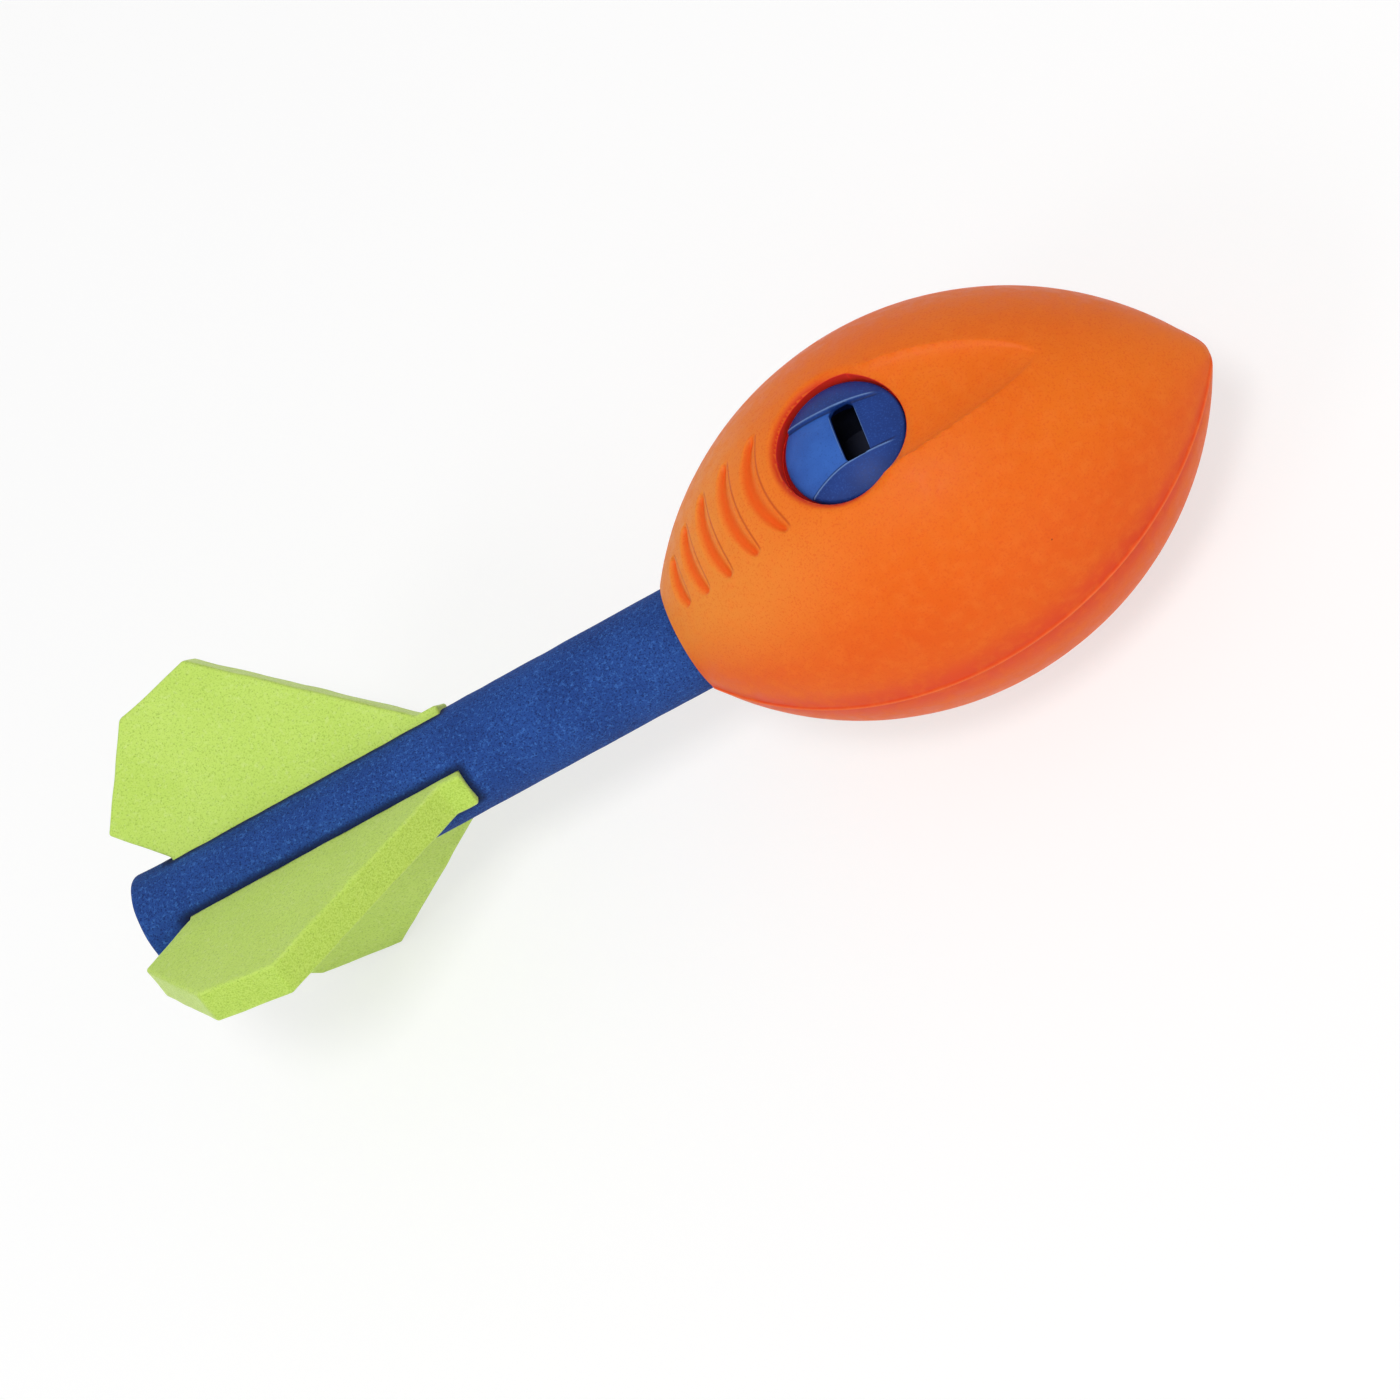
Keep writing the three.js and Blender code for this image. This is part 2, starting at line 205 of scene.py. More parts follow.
def turned_shell():
    """The ball's plain skin, spun from an arc; finest over the whistles and along the seams.

    The arc's end is put on the axis, so that the spin closes the nose.
    """
    bpy.ops.mesh.primitive_circle_add(
        vertices=ARC_POINTS,
        radius=BALL_ARC,
        location=(BALL_MIDDLE, 0, -ARC_DROP),
        rotation=(math.pi / 2, 0, 0),
    )
    shell = name_piece("moulded_ball")
    edit(shell)
    bpy.ops.mesh.select_all(action="SELECT")
    bpy.ops.mesh.bisect(plane_co=(BALL_MIDDLE, 0, 0), plane_no=(0, 0, -1), clear_outer=True)
    arc = bmesh.from_edit_mesh(shell.data)
    tip = max(arc.verts, key=lambda vertex: vertex.co.x)
    tip.co = (BALL_MIDDLE + ARC_END, 0, 0)
    bmesh.update_edit_mesh(shell.data)
    bpy.ops.mesh.select_all(action="SELECT")
    bpy.ops.transform.rotate(
        value=math.radians(SPIN_START),
        orient_axis="X",
        center_override=(BALL_MIDDLE, 0, 0),
    )
    for steps, degrees in SPIN_ZONES:
        bpy.ops.mesh.spin(
            steps=steps,
            angle=math.radians(degrees),
            center=(BALL_MIDDLE, 0, 0),
            axis=(1, 0, 0),
        )
    bpy.ops.object.mode_set(mode="OBJECT")
    close_up(shell)
    edit(shell)
    bpy.ops.mesh.select_all(action="SELECT")
    bpy.ops.mesh.bisect(
        plane_co=(BALL_BACK, 0, 0),
        plane_no=(-1, 0, 0),
        use_fill=True,
        clear_outer=True,
    )
    bpy.ops.mesh.select_all(action="DESELECT")
    bpy.ops.mesh.select_mode(type="FACE")
    pick_faces(shell, carries_grooves)
    bpy.ops.mesh.subdivide(number_cuts=1)
    bpy.ops.object.mode_set(mode="OBJECT")
    close_up(shell)
    return shell


def round_nose(points):
    """Draws the pointed end of the arc back onto a small sphere."""
    along = points[:, 0] - BALL_MIDDLE
    radius = np.hypot(points[:, 1], points[:, 2])
    start = (BALL_ARC * NOSE_CENTRE) / (BALL_ARC - BALL_NOSE)
    start_radius = BALL_ARC * ARC_DROP / (BALL_ARC - BALL_NOSE) - ARC_DROP
    tip = along > start
    share = (along - start) / (ARC_END - start)
    turn = math.atan2(start_radius, start - NOSE_CENTRE) * (1 - np.clip(share, 0, 1))
    new_radius = BALL_NOSE * np.sin(turn)
    scale = np.where(radius > 1e-9, new_radius / np.maximum(radius, 1e-9), 1)
    points[tip, 0] = (BALL_MIDDLE + NOSE_CENTRE + BALL_NOSE * np.cos(turn))[tip]
    points[tip, 1] *= scale[tip]
    points[tip, 2] *= scale[tip]
    return points


def scoop_drop(ahead, across):
    """Depth of the hollow that runs from the whistle towards the nose."""
    share = np.clip(ahead / SCOOP_LENGTH, 0, 1)
    half = SCOOP_HALF_WIDTH * np.maximum(1 - share**2, 1e-4) ** SCOOP_TAPER
    side = np.clip(1 - (np.abs(across) / half) ** 2, 0, 1) ** SCOOP_HOLLOW
    mouth = ease(-SCOOP_MOUTH, SCOOP_MOUTH, ahead)
    return SCOOP_DEPTH * (1 - share**2) ** SCOOP_TAPER * side * mouth


def groove_drop(ahead, arc, slope):
    """Depth of the crescents, soft at the tail's side with a crisp step ahead, and where the
    painted shadow line along that step lies.

    Across a crescent, side runs from -1 at the tail's side to 1 at the step.
    """
    depth = np.zeros_like(ahead)
    line = np.zeros_like(ahead)
    for back, half, bend in GROOVES:
        share = np.clip(np.abs(arc) / half, 0, 1)
        thin = np.sqrt(1 - share**2)
        middle = bend * share**2 - back
        width = GROOVE_HALF_WIDTH * (0.25 + 0.75 * thin)
        side = (ahead - middle) * slope / width
        near = ease(-1.15, -0.5, side)
        far = 1 - 0.78 * ease(-0.45, 0.75, side)
        step = 1 - ease(0.88, 1.04, side)
        end = ease(0, 0.5, thin)
        depth = np.maximum(depth, GROOVE_DEPTH * near * far * step * end)
        # the painted shadow line along the step
        place = (side - 0.93) * width / STEP_SHADE_WIDTH
        line = np.maximum(line, np.exp(-(place**2)) * ease(0.1, 0.5, thin))
    return depth, line


def lip_drop(ahead, across):
    """Roll of the foam's lip into the whistle's pit, less towards the nose, and its share of
    painted shade.
    """
    reach = np.hypot(ahead + PIT_BACK, across)
    share = np.clip((PIT_RADIUS + LIP_WIDTH - reach) / LIP_WIDTH, 0, 1.6)
    tail_side = 1 - ease(-0.4, 0.9, (ahead + PIT_BACK) / np.maximum(reach, 1e-6))
    drop = (LIP_DROP + LIP_DROP_BEHIND * tail_side) * share**2
    return drop, np.clip(share, 0, 1) * tail_side


def mould_relief(points):
    """Moves the skin in for the scoops, grooves and lips, and out for the seam.

    Gives the moved points, and how far each lies in a groove, on its step, on the pit's lip, on
    the seam, up the flank and towards the tail. The skin's colour uses these for painted shade in
    the grooves, on the steps, on the lip and up the flanks, a painted highlight on the seam and
    painted light towards the tail.
    """
    along = points[:, 0] - BALL_MIDDLE
    radius = np.maximum(np.hypot(points[:, 1], points[:, 2]), 1e-9)
    slope = np.sqrt(np.clip(1 - (along / BALL_ARC) ** 2, 0.01, 1))
    outward = np.stack(
        [
            along / BALL_ARC,
            points[:, 1] / radius * slope,
            points[:, 2] / radius * slope,
        ],
        axis=1,
    )
    moved = points.copy()
    grooved = np.zeros(len(points))
    step_shaded = np.zeros(len(points))
    lipped = np.zeros(len(points))
    ahead = along + WHISTLE_SETBACK
    for side in (1, -1):
        facing = points[:, 2] * side > FLANK_START
        across = points[:, 1]
        arc = radius * np.arctan2(np.abs(across), points[:, 2] * side)
        groove, line = groove_drop(ahead, arc, 1 / slope)
        moved -= outward * (groove * facing)[:, None]
        lip, lip_shade_share = lip_drop(ahead, across)
        moved[:, 2] -= side * (scoop_drop(ahead, across) + lip) * facing
        grooved += groove * facing / GROOVE_DEPTH
        step_shaded += line * facing
        lipped += lip_shade_share * facing
    ridge = SEAM_HEIGHT * np.exp(-((points[:, 2] / SEAM_HALF_WIDTH) ** 2) * SEAM_CURVE)
    fade = ease(-0.001, 0.004, radius) * ease(BALL_BACK, BALL_BACK + 0.0006, points[:, 0])
    shares = {
        "groove_shade_share": grooved,
        "step_shade_share": step_shaded,
        "lip_shade_share": lipped,
        "seam_highlight_share": ridge * fade / SEAM_HEIGHT,
        "flank_shade_share": np.abs(points[:, 2]) / radius,
        "lit_back_share": 1 - ease(*LIT_BACK_FADE, along),
    }
    return moved + outward * (ridge * fade)[:, None], shares


def cylinder(radius, low, high, centre, axis, sides):
    """A cylinder between two heights along Z or two places along X, for cutting."""
    if axis == "X":
        place = ((low + high) / 2, centre[0], centre[1])
        turn = (0, math.pi / 2, 0)
    else:
        place = (centre[0], centre[1], (low + high) / 2)
        turn = (0, 0, 0)
    bpy.ops.mesh.primitive_cylinder_add(
        vertices=sides,
        radius=radius,
        depth=abs(high - low),
        location=place,
        rotation=turn,
    )
    return name_piece("cutter")


def keep_value(piece, name, values):
    """Keeps a number for each point of a piece, for its material to read."""
    piece.data.attributes.new(name, "FLOAT", "POINT").data.foreach_set("value", values)


ball = turned_shell()
moulded, shares = mould_relief(round_nose(points_of(ball)))
put_points(ball, moulded)
for name, share in shares.items():
    keep_value(ball, name, share)
for low, high, radius in SOCKET_BORES:
    carve(ball, cylinder(radius, low, high, (0, 0), "X", 96))
well = (WHISTLE_PLACE, 0)
pit = (WHISTLE_PLACE - PIT_BACK, 0)
for side in (1, -1):
    carve(ball, cylinder(WELL_RADIUS, side * WELL_BOTTOM, side * WELL_TOP, well, "Z", 128))
    carve(ball, cylinder(PIT_RADIUS, side * PIT_FLOOR, side * PIT_TOP, pit, "Z", 256))
close_up(ball)
shade(ball, 38)


def dress(piece, material):
    """Gives the whole piece one material."""
    piece.data.materials.clear()
    piece.data.materials.append(material)
    piece.data.polygons.foreach_set("material_index", [0] * len(piece.data.polygons))


def new_material(name):
    """An empty node material, with its shader and the object's own coordinates."""
    material = bpy.data.materials.new(name)
    material.use_nodes = True
    nodes = material.node_tree.nodes
    nodes.clear()
    shader = nodes.new("ShaderNodeBsdfPrincipled")
    out = nodes.new("ShaderNodeOutputMaterial")
    place = nodes.new("ShaderNodeTexCoord")
    material.node_tree.links.new(shader.outputs["BSDF"], out.inputs["Surface"])
    return material, shader, place.outputs["Object"]


def grain(material, place, scale, detail, rough=0.55):
    """A noise pattern of about one wave in 1/scale metres."""
    node = material.node_tree.nodes.new("ShaderNodeTexNoise")
    node.inputs["Scale"].default_value = scale
    node.inputs["Detail"].default_value = detail
    node.inputs["Roughness"].default_value = rough
    material.node_tree.links.new(place, node.inputs["Vector"])
    return node.outputs["Fac"]


def cells(material, place, scale):
    """Distance to the nearest of many scattered points, about 1/scale metres apart."""
    node = material.node_tree.nodes.new("ShaderNodeTexVoronoi")
    node.inputs["Scale"].default_value = scale
    material.node_tree.links.new(place, node.inputs["Vector"])
    return node.outputs["Distance"]


def span(material, value, low, high, to_low=0.0, to_high=1.0):
    """Maps a value from one span to another and keeps it inside."""
    node = material.node_tree.nodes.new("ShaderNodeMapRange")
    node.interpolation_type = "SMOOTHSTEP"
    node.inputs["From Min"].default_value = low
    node.inputs["From Max"].default_value = high
    node.inputs["To Min"].default_value = to_low
    node.inputs["To Max"].default_value = to_high
    material.node_tree.links.new(value, node.inputs["Value"])
    return node.outputs["Result"]


def math_node(material, operation, first, second):
    """One calculation with two values, each a socket or a number."""
    node = material.node_tree.nodes.new("ShaderNodeMath")
    node.operation = operation
    for socket, value in zip(node.inputs, (first, second)):
        if isinstance(value, (int, float)):
            socket.default_value = value
        else:
            material.node_tree.links.new(value, socket)
    return node.outputs["Value"]


def srgb(red, green, blue):
    """A screen colour, 0 to 255, as the linear colour that shaders take."""
    channels = [value / 255 for value in (red, green, blue)]
    linear = [v / 12.92 if v <= 0.04045 else ((v + 0.055) / 1.055) ** 2.4 for v in channels]
    return (*linear, 1.0)


def tint(material, share, first, second):
    """Mixes two colours, each a socket or a screen colour, by a share from 0 to 1."""
    node = material.node_tree.nodes.new("ShaderNodeMix")
    node.data_type = "RGBA"
    links = material.node_tree.links
    links.new(share, node.inputs["Factor"])
    for socket, value in ((node.inputs[6], first), (node.inputs[7], second)):
        if isinstance(value, tuple):
            socket.default_value = srgb(*value)
        else:
            links.new(value, socket)
    return node.outputs[2]


def relief(material, shader, height, distance, strength, under=None):
    """Adds a bump of that height in metres to the shader, on top of another bump."""
    node = material.node_tree.nodes.new("ShaderNodeBump")
    node.inputs["Strength"].default_value = strength
    node.inputs["Distance"].default_value = distance
    links = material.node_tree.links
    links.new(height, node.inputs["Height"])
    if under is not None:
        links.new(under, node.inputs["Normal"])
    links.new(node.outputs["Normal"], shader.inputs["Normal"])
    return node.outputs["Normal"]


def kept(material, name):
    """Reads a number that the piece keeps for each point."""
    node = material.node_tree.nodes.new("ShaderNodeAttribute")
    node.attribute_name = name
    return node.outputs["Fac"]


def pit_distance(material, place):
    """How far a point is from the line through the middle of both pits."""
    nodes = material.node_tree.nodes
    links = material.node_tree.links
    shift = nodes.new("ShaderNodeMapping")
    shift.inputs["Location"].default_value = (-(WHISTLE_PLACE - PIT_BACK), 0, 0)
    links.new(place, shift.inputs["Vector"])
    flat = nodes.new("ShaderNodeVectorMath")
    flat.operation = "MULTIPLY"
    flat.inputs[1].default_value = (1, 1, 0)
    links.new(shift.outputs["Vector"], flat.inputs[0])
    length = nodes.new("ShaderNodeVectorMath")
    length.operation = "LENGTH"
    links.new(flat.outputs["Vector"], length.inputs[0])
    return length.outputs["Value"]


# Colours of the skin: the back's is painted light, the side's, parting's, groove's, step's, lip's,
# wall's and floor's painted shade, the seam's a painted highlight
NOSE_ORANGES = ((240, 117, 27), (238, 110, 23))
LIT_BACK_ORANGES = ((243, 144, 55), (241, 136, 49))
SHADED_SIDE_ORANGES = ((237, 101, 24), (235, 96, 21))
SHADED_PARTING_ORANGES = ((231, 76, 28), (229, 71, 25))
MOTTLE_LIGHT = (246, 128, 48)
SPECK_RED = (226, 78, 18)
GROOVE_SHADE = (238, 84, 12)
STEP_SHADE = (200, 70, 18)
SEAM_HIGHLIGHT = (246, 140, 78)
LIP_SHADE_RED = (222, 44, 20)
WALL_SHADE_RED = (255, 56, 40)
FLOOR_SHADE_RED = (150, 16, 14)
PINHOLE_DARK = (168, 48, 18)


def skin_foam():
    """Orange self-skinned foam with a few pinholes; painted light pales the back, painted shade
    reddens the flanks and darkens the grooves and the pit, and a painted highlight runs along the
    seam.
    """
    material, shader, place = new_material("orange_skin_foam")
    links = material.node_tree.links
    cloud = grain(material, place, 45, 4)
    mottle = grain(material, place, 420, 3)
    speck = grain(material, place, 2600, 2)
    cloudy = span(material, cloud, 0.3, 0.7)
    nose = tint(material, cloudy, *NOSE_ORANGES)
    back = tint(material, cloudy, *LIT_BACK_ORANGES)
    side = tint(material, cloudy, *SHADED_SIDE_ORANGES)
    parting_shade = tint(material, cloudy, *SHADED_PARTING_ORANGES)
    flank = kept(material, "flank_shade_share")
    # painted light: the back, towards the tail, is paler as if lit from that side
    colour = tint(material, kept(material, "lit_back_share"), nose, back)
    # painted shade: redder down the flanks, and redder still by the seam, where the skin turns
    # away from the light
    colour = tint(material, span(material, flank, 0.36, 0.98), side, colour)
    colour = tint(material, span(material, flank, 0.02, 0.24), parting_shade, colour)
    colour = tint(material, span(material, mottle, 0.42, 0.7, 0, 0.25), colour, MOTTLE_LIGHT)
    colour = tint(material, span(material, speck, 0.5, 0.7, 0, 0.4), colour, SPECK_RED)
    # painted shade: darker in the grooves, with a painted shadow line along each step
    grooved = span(material, kept(material, "groove_shade_share"), 0, 1, 0, 0.75)
    colour = tint(material, grooved, colour, GROOVE_SHADE)
    stepped = span(material, kept(material, "step_shade_share"), 0.1, 1, 0, 0.75)
    colour = tint(material, stepped, colour, STEP_SHADE)
    # painted highlight along the seam's ridge
    ridged = span(material, kept(material, "seam_highlight_share"), 0.3, 1, 0, 0.5)
    colour = tint(material, ridged, colour, SEAM_HIGHLIGHT)
    # painted shade: deep red on the pit's lip and wall, and darker still on the pit's floor
    lipped = span(material, kept(material, "lip_shade_share"), 0.15, 1, 0, 0.95)
    colour = tint(material, lipped, colour, LIP_SHADE_RED)
    reach = pit_distance(material, place)
    wall = span(material, reach, PIT_RADIUS - 1e-4, PIT_RADIUS - 4e-5)
    wall = tint(material, wall, FLOOR_SHADE_RED, WALL_SHADE_RED)
    colour = tint(material, span(material, reach, PIT_RADIUS, PIT_RADIUS + 1e-4), wall, colour)
    pinhole = cells(material, place, 130)
    rare = span(material, grain(material, place, 95, 1), 0.55, 0.62)
    hole = span(material, pinhole, 0.01, 0.032, 1, 0)
    hole = math_node(material, "MULTIPLY", hole, rare)
    colour = tint(material, hole, colour, PINHOLE_DARK)
    links.new(colour, shader.inputs["Base Color"])
    links.new(span(material, mottle, 0.3, 0.7, 0.4, 0.54), shader.inputs["Roughness"])
    shader.inputs["Specular IOR Level"].default_value = 0.12
    shader.inputs["Subsurface Weight"].default_value = 0.25
    shader.inputs["Subsurface Radius"].default_value = (1.0, 0.2, 0.08)
    shader.inputs["Subsurface Scale"].default_value = 0.002
    under = relief(material, shader, mottle, 0.00012, 0.5)
    under = relief(material, shader, speck, 0.00003, 0.5, under)
    relief(material, shader, math_node(material, "SUBTRACT", 1, hole), 0.0002, 0.6, under)
    return material


dress(ball, skin_foam())
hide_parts("foam_ball")
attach(ball, "root")


# Each whistle shows as a blue plastic cap, injection moulded with its slot, the ramp that falls
# away ahead of the slot and the fan behind it. Its spigot is pressed into the cup below it.

CAP_RADIUS = 0.0114
CAP_RIM = 0.0307
CAP_CROWN = 0.0341
CAP_UNDER = 0.0291
SPIGOT_RADIUS = 0.0093
SPIGOT_BORE = 0.0083
SPIGOT_END = 0.0266
SPIGOT_OVERLAP = 0.0002
BORE_EASE = 0.0001
BORE_BOTTOM = 0.0260
BORE_TOP = 0.0310
TRIM_BOTTOM = 0.0280
DOME_RADIUS = (CAP_RADIUS**2 + (CAP_CROWN - CAP_RIM) ** 2) / (2 * (CAP_CROWN - CAP_RIM))
SLOT_MIDDLE = 0.0018
SLOT_HALF = (0.0023, 0.0056)
SLOT_CORNER = 0.0013
RELIEF_HALF = 0.0058
RELIEF_TOP = -0.0001
RELIEF_FOOT = 0.0004
FULL_RELIEF = 0.0004
RAMP_DEPTH = 0.00135
RAMP_FALL = 0.2
RAMP_LENGTH = 0.008
RAMP_NARROWING = 0.0006
FAN_DEPTH = 0.0008
FAN_LENGTH = 0.009
FAN_WIDENING = 0.0016
CAP_EDGE = 0.0004
EDGE_PLACE = -0.00014
EDGE_WIDTH = 0.00018
CREASE_WIDTH = 0.00022
SLOT_RIM_WIDTH = 0.00016
CAP_WALL = 0.0008
CAP_STEP = 0.00012
SHEET_SIZE = 2 * 0.0118
SHEET_LIFT = 0.006
BAR_MIDDLE = 0.0310
BAR_HEIGHT = 0.0140


def blunt(distance, size):
    """How far a rounded edge of that size drops, by the distance from the edge inwards."""
    share = np.clip(1 - distance / size, 0, 1)
    return size * (1 - np.sqrt(1 - share**2))


def cap_height(ahead, across):
    """Top of the cap: the dome with the fan and ramp sunk in, and where its painted edge
    highlights, painted crease shade and painted light on the fan lie.
    """
    reach = np.hypot(ahead, across)
    dome = CAP_CROWN - DOME_RADIUS + np.sqrt(np.maximum(DOME_RADIUS**2 - reach**2, 1e-9))
    fan_edge = RELIEF_HALF + FAN_WIDENING * np.clip(-ahead / FAN_LENGTH, 0, 1.3) ** 1.35
    ramp_edge = RELIEF_HALF - RAMP_NARROWING * np.clip(ahead / RAMP_LENGTH, 0, 1.4) ** 1.1
    inside = np.where(ahead < 0, fan_edge, ramp_edge) - np.abs(across)
    behind = 1 - ease(-0.0004, 0.0036, ahead)
    ramp = CAP_CROWN - RAMP_DEPTH - RAMP_FALL * np.maximum(ahead - SLOT_MIDDLE, 0)
    floor = np.minimum((dome - FAN_DEPTH) * behind + ramp * (1 - behind), dome)
    height = dome + (floor - dome) * ease(RELIEF_TOP, RELIEF_FOOT, inside)
    deep = np.clip((dome - floor) / FULL_RELIEF, 0, 1)
    away_x = np.abs(ahead - SLOT_MIDDLE) - (SLOT_HALF[0] - SLOT_CORNER)
    away_y = np.abs(across) - (SLOT_HALF[1] - SLOT_CORNER)
    away = np.hypot(np.maximum(away_x, 0), np.maximum(away_y, 0)) - SLOT_CORNER
    height = height - blunt(np.maximum(away, 0), CAP_EDGE)
    height = height - blunt(np.maximum(CAP_RADIUS - reach, 0), CAP_EDGE)
    # painted highlights along the edges and the slot's rim, painted shade in the creases, painted
    # light on the fan
    edges = deep * np.exp(-(((inside - EDGE_PLACE) / EDGE_WIDTH) ** 2))
    creases = deep * np.exp(-(((inside - RELIEF_FOOT) / CREASE_WIDTH) ** 2))
    rim = np.exp(-((away / SLOT_RIM_WIDTH) ** 2)) * ease(-0.0056, -0.0036, -np.abs(across))
    fan = behind * ease(RELIEF_TOP, 0.0006, inside)
    return height, np.maximum(edges, rim), creases, fan


def cap_skin():
    """The cap's top as a fine sheet, with a thin wall below it and the flange round it."""
    count = int(round(SHEET_SIZE / CAP_STEP))
    bpy.ops.mesh.primitive_grid_add(
        x_subdivisions=count,
        y_subdivisions=count,
        size=SHEET_SIZE,
        location=(WHISTLE_PLACE, 0, CAP_RIM),
    )
    skin = name_piece("slotted_cap_upper")
    edit(skin)
    bpy.ops.mesh.select_all(action="SELECT")
    bpy.ops.mesh.extrude_region_move(TRANSFORM_OT_translate={"value": (0, 0, SHEET_LIFT)})
    bpy.ops.object.mode_set(mode="OBJECT")
    close_up(skin)
    points = points_of(skin)
    top = points[:, 2] > CAP_RIM + SHEET_LIFT / 2
    ahead = points[:, 0] - WHISTLE_PLACE
    height, edges, creases, fan = cap_height(ahead, points[:, 1])
    hollow = np.hypot(ahead, points[:, 1]) < SPIGOT_BORE
    points[:, 2] = np.where(top, height, np.where(hollow, height - CAP_WALL, CAP_UNDER))
    put_points(skin, points)
    keep_value(skin, "edge_highlight_share", edges * top)
    keep_value(skin, "crease_shade_share", creases * top)
    keep_value(skin, "lit_fan_share", fan * top)
    return skin


def pick_edges(piece, test):
    """Selects the edges whose two ends pass the test, in edit mode."""
    mesh = bmesh.from_edit_mesh(piece.data)
    for edge in mesh.edges:
        if test(edge.verts[0].co, edge.verts[1].co):
            edge.select_set(True)
    bmesh.update_edit_mesh(piece.data)


def slot_bar():
    """The bar that leaves the slot open, with rounded corners."""
    bpy.ops.mesh.primitive_cube_add(
        size=1,
        location=(WHISTLE_PLACE + SLOT_MIDDLE, 0, BAR_MIDDLE),
        scale=(2 * SLOT_HALF[0], 2 * SLOT_HALF[1], BAR_HEIGHT),
    )
    bar = name_piece("cutter")
    edit(bar, "EDGE")
    pick_edges(bar, lambda a, b: abs(a.z - b.z) > 0.01)
    bpy.ops.mesh.bevel(offset=SLOT_CORNER, segments=8)
    bpy.ops.object.mode_set(mode="OBJECT")
    return bar


cap_upper = cap_skin()
carve(cap_upper, cylinder(CAP_RADIUS, TRIM_BOTTOM, PIT_TOP, well, "Z", 240), "INTERSECT")
spigot = cylinder(SPIGOT_RADIUS, SPIGOT_END, CAP_UNDER + SPIGOT_OVERLAP, well, "Z", 96)
carve(spigot, cylinder(SPIGOT_BORE + BORE_EASE, BORE_BOTTOM, BORE_TOP, well, "Z", 96))
carve(cap_upper, spigot, "UNION")
carve(cap_upper, slot_bar())
close_up(cap_upper)
shade(cap_upper, 40)


# the fan's blues are painted light, the crease blue painted shade and the edge blue a painted
# highlight
DOME_BLUES = ((24, 58, 132), (19, 50, 118))
LIT_FAN_BLUES = ((52, 102, 188), (44, 90, 174))
GRAIN_LIGHT = (56, 98, 182)
GRAIN_DARK = (28, 54, 120)
CREASE_SHADE_BLUE = (14, 30, 78)
EDGE_HIGHLIGHT_BLUE = (140, 178, 230)


def whistle_plastic():
    """Blue moulded plastic: a satin skin with fine grain and faint flow marks, with painted light
    on the fan, painted shade in the creases and painted highlights along the edges.
    """
    material, shader, place = new_material("blue_whistle_plastic")
    links = material.node_tree.links
    flow = grain(material, place, 160, 3)
    fine = grain(material, place, 3200, 2)
    dome = tint(material, span(material, flow, 0.3, 0.7), *DOME_BLUES)
    fan = tint(material, span(material, flow, 0.3, 0.7), *LIT_FAN_BLUES)
    # painted light: the fan is paler, as if lit
    colour = tint(material, kept(material, "lit_fan_share"), dome, fan)
    colour = tint(material, span(material, fine, 0.5, 0.75, 0, 0.4), colour, GRAIN_LIGHT)
    colour = tint(material, span(material, fine, 0.28, 0.45, 0.35, 0), colour, GRAIN_DARK)
    # painted shade in the creases
    crease = span(material, kept(material, "crease_shade_share"), 0, 1, 0, 0.8)
    colour = tint(material, crease, colour, CREASE_SHADE_BLUE)
    # painted highlights along the convex edges and the slot's rim
    edge = span(material, kept(material, "edge_highlight_share"), 0.15, 1, 0, 0.45)
    colour = tint(material, edge, colour, EDGE_HIGHLIGHT_BLUE)
    links.new(colour, shader.inputs["Base Color"])
    links.new(span(material, fine, 0.3, 0.7, 0.42, 0.56), shader.inputs["Roughness"])
    shader.inputs["Specular IOR Level"].default_value = 0.2
    under = relief(material, shader, flow, 0.0001, 0.3)
    relief(material, shader, fine, 0.00002, 0.5, under)
    return material


dress(cap_upper, whistle_plastic())
cap_lower = cap_upper.copy()
cap_lower.data = cap_upper.data.copy()
cap_lower.name = "slotted_cap_lower"
cap_lower.data.name = "slotted_cap_lower"
bpy.context.scene.collection.objects.link(cap_lower)
cap_lower.data.transform(Matrix.Rotation(math.pi, 4, "X"))
for cap, node in ((cap_upper, "whistle_cap_upper"), (cap_lower, "whistle_cap_lower")):
    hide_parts(node)
    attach(cap, "root")


# Under each cap sits a closed plastic cup, moulded in blue and glued into the foam's well.
# It is the sounding chamber, and all that shows of it is the dark seen through the slot; its
# near-black blue is painted shade.

CUP_SHADE_BLUES = ((20, 24, 44), (26, 31, 56))
CUP_GRAIN = (34, 40, 70)


def cup_plastic():
    """Blue moulded plastic, matt inside, painted near-black as shade."""
    material, shader, place = new_material("dark_cup_plastic")
    links = material.node_tree.links
    flow = grain(material, place, 220, 3)
    fine = grain(material, place, 2400, 2)
    # painted shade: near-black blue for the dark inside the chamber
    colour = tint(material, span(material, flow, 0.3, 0.7), *CUP_SHADE_BLUES)
    colour = tint(material, span(material, fine, 0.5, 0.75, 0, 0.4), colour, CUP_GRAIN)
    links.new(colour, shader.inputs["Base Color"])
    links.new(span(material, fine, 0.3, 0.7, 0.55, 0.7), shader.inputs["Roughness"])
    relief(material, shader, fine, 0.00003, 0.5)
    return material


dark_plastic = cup_plastic()
for node in ("whistle_cup_upper", "whistle_cup_lower"):
    dress(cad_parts[node], dark_plastic)


# The tail is a rod of blue closed-cell foam, cut to length with its end eased and a little flared.
# Three slits are cut into it for the fins, and its front end is glued into the ball's socket.

